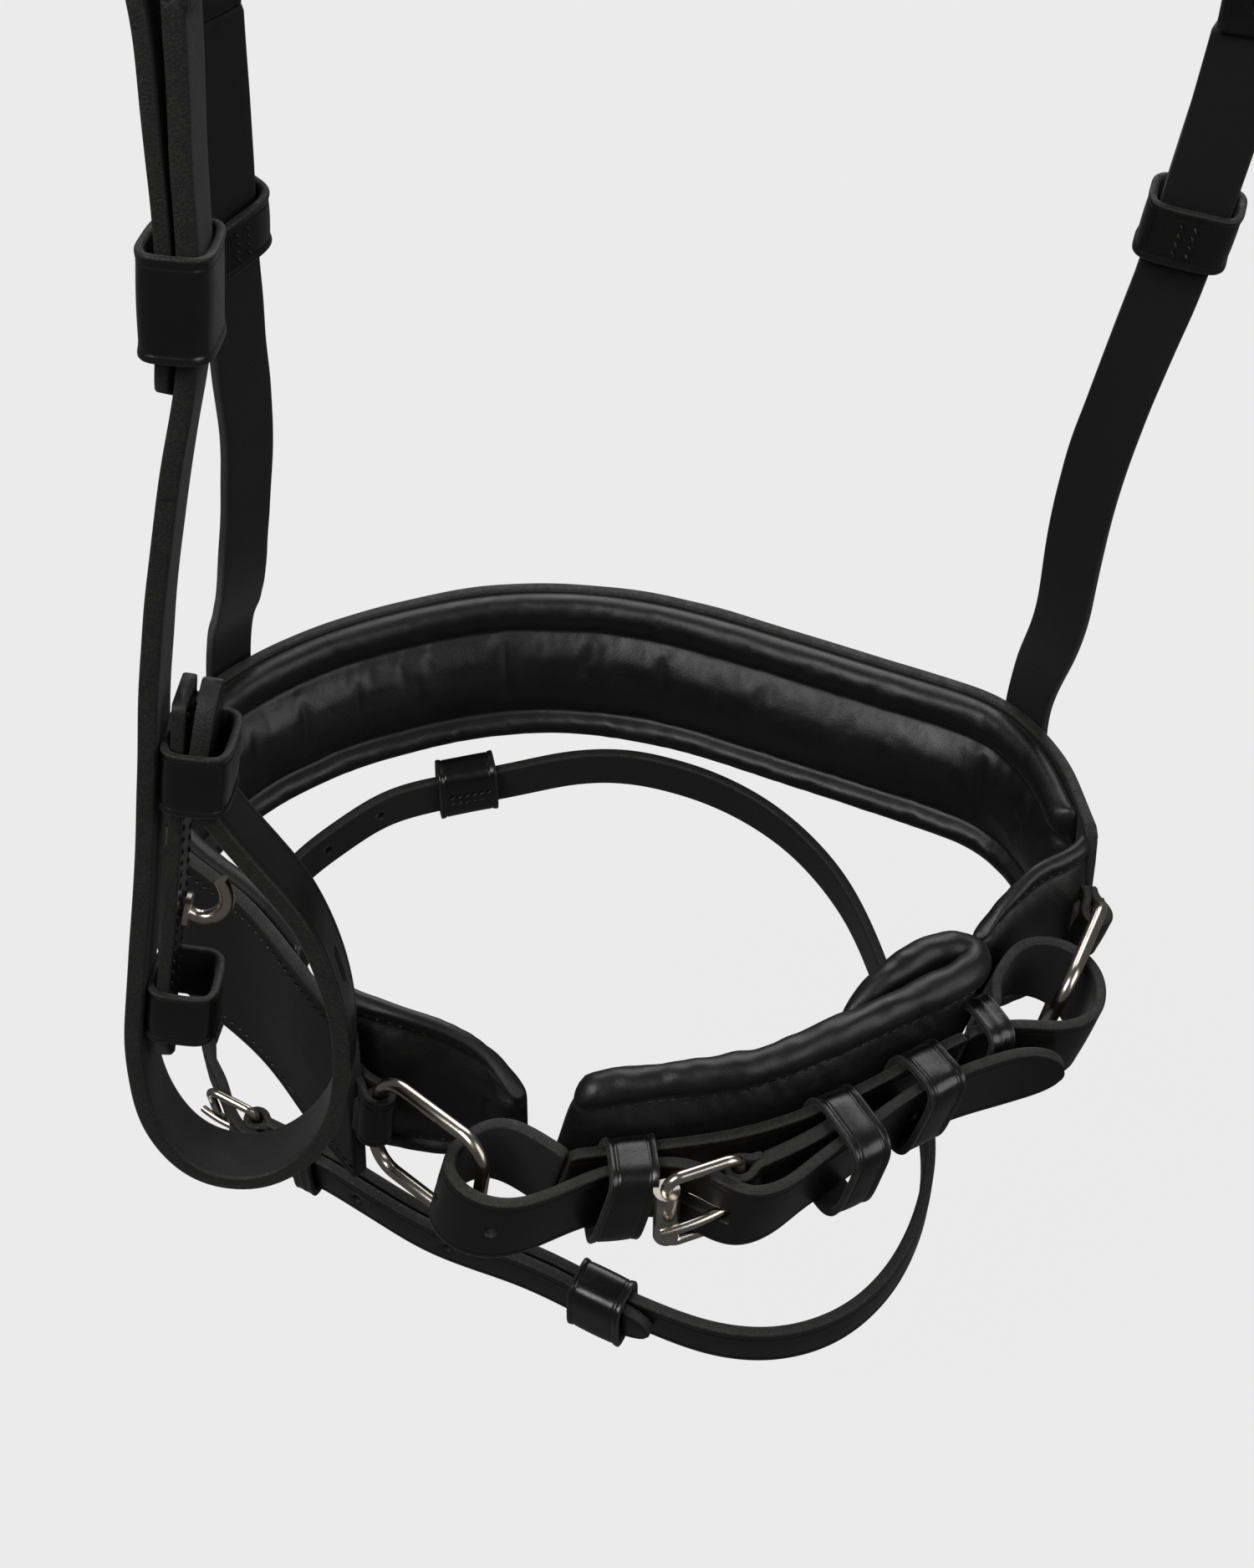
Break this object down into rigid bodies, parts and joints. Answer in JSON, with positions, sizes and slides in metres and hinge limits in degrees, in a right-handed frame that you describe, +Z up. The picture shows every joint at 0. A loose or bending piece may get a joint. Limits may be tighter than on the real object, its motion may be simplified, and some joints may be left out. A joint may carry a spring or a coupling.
{
  "type": "leather headcollar",
  "caption": "Black leather headpiece with a padded crank noseband, flash strap, bit-loop cheekpiece, oblong rings and buckles.",
  "frame": {"origin": "middle of the underside of the poll pad, where the headpiece hangs", "axes": "+Z up, +Y towards the horse's nose, +X towards the plain hanger's side"},
  "size_m": [0.268, 0.2173, 0.5137],
  "materials": {
    "leather": "semi-gloss black bridle leather",
    "lining": "soft black padded leather",
    "nickel": "polished nickel plated steel"
  },
  "bodies": {
    "headpiece": {"billet_tip_keeper": "leather", "bit_loop_lower_keeper": "leather", "bit_loop_upper_keeper": "leather", "cheek_buckle_frame": "nickel", "cheek_headstrap": "leather", "cheek_long_keeper": "leather", "cheekpiece_bit_loop": "leather", "chin_pad": "lining", "chin_strap": "leather", "crank_billet": "leather", "crank_buckle_frame": "nickel", "crank_buckle_turnback": "leather", "crown_strap": "leather", "flash_buckle_frame": "nickel", "flash_buckle_keeper": "leather", "flash_carrier_loop": "leather", "flash_strap": "leather", "hook_stud": "nickel", "hook_stud_tab": "leather", "left_hanger": "leather", "left_hanger_buckle_frame": "nickel", "left_padded_end_tab": "lining", "left_ring_chape": "leather", "long_chin_keeper": "leather", "middle_chin_keeper": "leather", "noseband_headstrap": "leather", "noseband_outer_strap": "leather", "noseband_padded_lining": "lining", "poll_pad": "lining", "right_crank_loop": "leather", "right_hanger": "leather", "right_hanger_buckle_frame": "nickel", "right_ring_chape": "leather", "small_loop_keeper": "leather"},
    "left_ring": {"left_crank_ring": "nickel"},
    "right_ring": {"right_crank_ring": "nickel"},
    "crank_tongue": {"crank_buckle_tongue": "nickel"},
    "roller": {"crank_buckle_roller": "nickel"},
    "flash_tongue": {"flash_buckle_tongue": "nickel"},
    "right_tongue": {"right_hanger_buckle_tongue": "nickel"},
    "left_tongue": {"left_hanger_buckle_tongue": "nickel"},
    "cheek_tongue": {"cheek_buckle_tongue": "nickel"},
    "right_hanger_runner": {"right_hanger_keeper": "leather"},
    "left_hanger_runner": {"left_hanger_keeper": "leather"},
    "flash_runner": {"flash_chin_keeper": "leather"}
  },
  "joints": [
    {"name": "left_ring_swing", "type": "hinge", "parent": "headpiece", "child": "left_ring", "pos_m": [-0.084, -0.066, -0.43], "axis": [0.1499, 0.1765, 0.9728], "range_deg": [-7, 12]},
    {"name": "right_ring_swing", "type": "hinge", "parent": "headpiece", "child": "right_ring", "pos_m": [0.1025, -0.005, -0.43], "axis": [0.1594, -0.0782, 0.9841], "range_deg": [-8, 8]},
    {"name": "crank_tongue_lift", "type": "hinge", "parent": "headpiece", "child": "crank_tongue", "pos_m": [0.0047, -0.0876, -0.43], "axis": [-0.0011, 0.0028, 1], "range_deg": [0, 8]},
    {"name": "roller_spin", "type": "hinge", "parent": "headpiece", "child": "roller", "pos_m": [-0.01265, -0.09431, -0.43], "axis": [-0.0011, 0.0028, 1], "continuous": true},
    {"name": "flash_tongue_lift", "type": "hinge", "parent": "headpiece", "child": "flash_tongue", "pos_m": [-0.1238, -0.03427, -0.48004], "axis": [0, -0.1736, 0.9848], "range_deg": [0, 8]},
    {"name": "right_tongue_lift", "type": "hinge", "parent": "headpiece", "child": "right_tongue", "pos_m": [0.1003, 0.0196, -0.184], "axis": [-0.9536, 0.3011, 0], "range_deg": [0, 8]},
    {"name": "left_tongue_lift", "type": "hinge", "parent": "headpiece", "child": "left_tongue", "pos_m": [-0.0972, -0.0045, -0.17], "axis": [-0.6, -0.8, 0], "range_deg": [0, 8]},
    {"name": "cheek_tongue_lift", "type": "hinge", "parent": "headpiece", "child": "cheek_tongue", "pos_m": [-0.0954, -0.03007, -0.15511], "axis": [0, -0.9817, 0.1903], "range_deg": [0, 8]},
    {"name": "right_hanger_keeper_slide", "type": "slide", "parent": "headpiece", "child": "right_hanger_runner", "axis": [0.059, -0.1673, 0.9841], "range_m": [-0.004, 0.004]},
    {"name": "left_hanger_keeper_slide", "type": "slide", "parent": "headpiece", "child": "left_hanger_runner", "axis": [0.1053, -0.2681, 0.9576], "range_m": [-0.004, 0.004]},
    {"name": "flash_keeper_slide", "type": "slide", "parent": "headpiece", "child": "flash_runner", "axis": [0.8908, -0.4474, -0.0789], "range_m": [-0.003, 0.003]}
  ]
}
